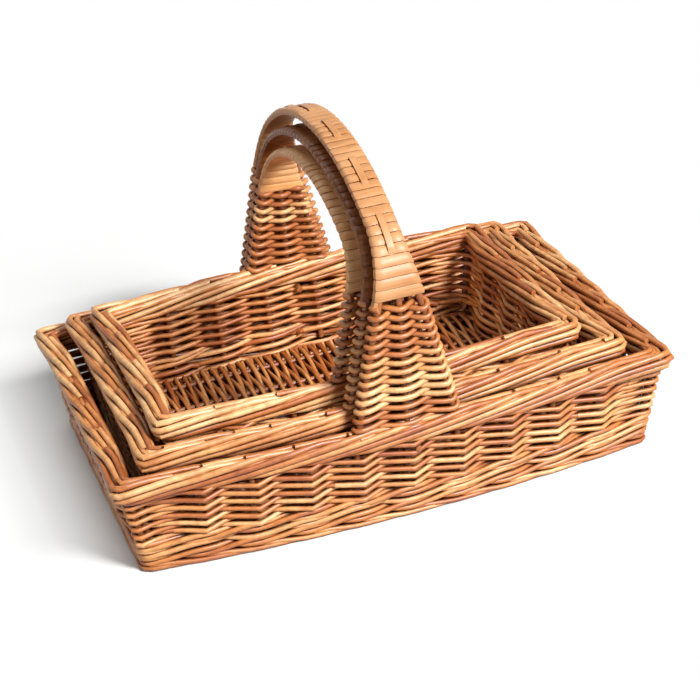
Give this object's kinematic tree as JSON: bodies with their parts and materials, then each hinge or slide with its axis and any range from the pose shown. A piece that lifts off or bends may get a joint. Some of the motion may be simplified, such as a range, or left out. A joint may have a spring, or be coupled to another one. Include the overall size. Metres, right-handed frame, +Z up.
{
  "type": "nested willow trug set",
  "caption": "Nest of rectangular woven willow trugs, one inside another, each with splayed walls, a plaited border and a fixed arched handle wrapped in flat cane.",
  "frame": {"origin": "middle of the large trug's foot, on the surface it stands on", "axes": "+Z up, +X along the long sides, +Y across them, with the handles arching in the YZ plane"},
  "size_m": [0.56, 0.376, 0.3494],
  "materials": {
    "buff_willow_weave": "woven boiled willow rods with a thin clear varnish",
    "buff_willow_rod": "round boiled willow rod",
    "buff_willow_border": "plaited boiled willow rods with a thin clear varnish",
    "lapping_cane": "flat cane, satin"
  },
  "bodies": {
    "large_trug": {"large_foot_border": "buff_willow_weave", "large_base_mat": "buff_willow_weave", "large_base_sticks": "buff_willow_rod", "large_side_stakes": "buff_willow_rod", "large_corner_posts": "buff_willow_rod", "large_wale": "buff_willow_weave", "large_siding": "buff_willow_weave", "large_border": "buff_willow_border", "large_handle_rods": "buff_willow_rod", "large_handle_wrap": "lapping_cane", "large_handle_leader": "lapping_cane", "large_handle_fan_front": "buff_willow_weave", "large_handle_fan_back": "buff_willow_weave", "large_handle_pegs": "buff_willow_rod"},
    "medium_trug": {"medium_foot_border": "buff_willow_weave", "medium_base_mat": "buff_willow_weave", "medium_base_sticks": "buff_willow_rod", "medium_side_stakes": "buff_willow_rod", "medium_corner_posts": "buff_willow_rod", "medium_wale": "buff_willow_weave", "medium_siding": "buff_willow_weave", "medium_border": "buff_willow_border", "medium_handle_rods": "buff_willow_rod", "medium_handle_wrap": "lapping_cane", "medium_handle_leader": "lapping_cane", "medium_handle_fan_front": "buff_willow_weave", "medium_handle_fan_back": "buff_willow_weave", "medium_handle_pegs": "buff_willow_rod"},
    "small_trug": {"small_foot_border": "buff_willow_weave", "small_base_mat": "buff_willow_weave", "small_base_sticks": "buff_willow_rod", "small_side_stakes": "buff_willow_rod", "small_corner_posts": "buff_willow_rod", "small_wale": "buff_willow_weave", "small_siding": "buff_willow_weave", "small_border": "buff_willow_border", "small_handle_rods": "buff_willow_rod", "small_handle_wrap": "lapping_cane", "small_handle_leader": "lapping_cane", "small_handle_fan_front": "buff_willow_weave", "small_handle_fan_back": "buff_willow_weave", "small_handle_pegs": "buff_willow_rod"}
  },
  "joints": [
    {"name": "medium_lift", "type": "slide", "parent": "large_trug", "child": "medium_trug", "axis": [0, 0, 1], "range_m": [0, 0.007]},
    {"name": "small_lift", "type": "slide", "parent": "medium_trug", "child": "small_trug", "axis": [0, 0, 1], "range_m": [0, 0.007]}
  ]
}
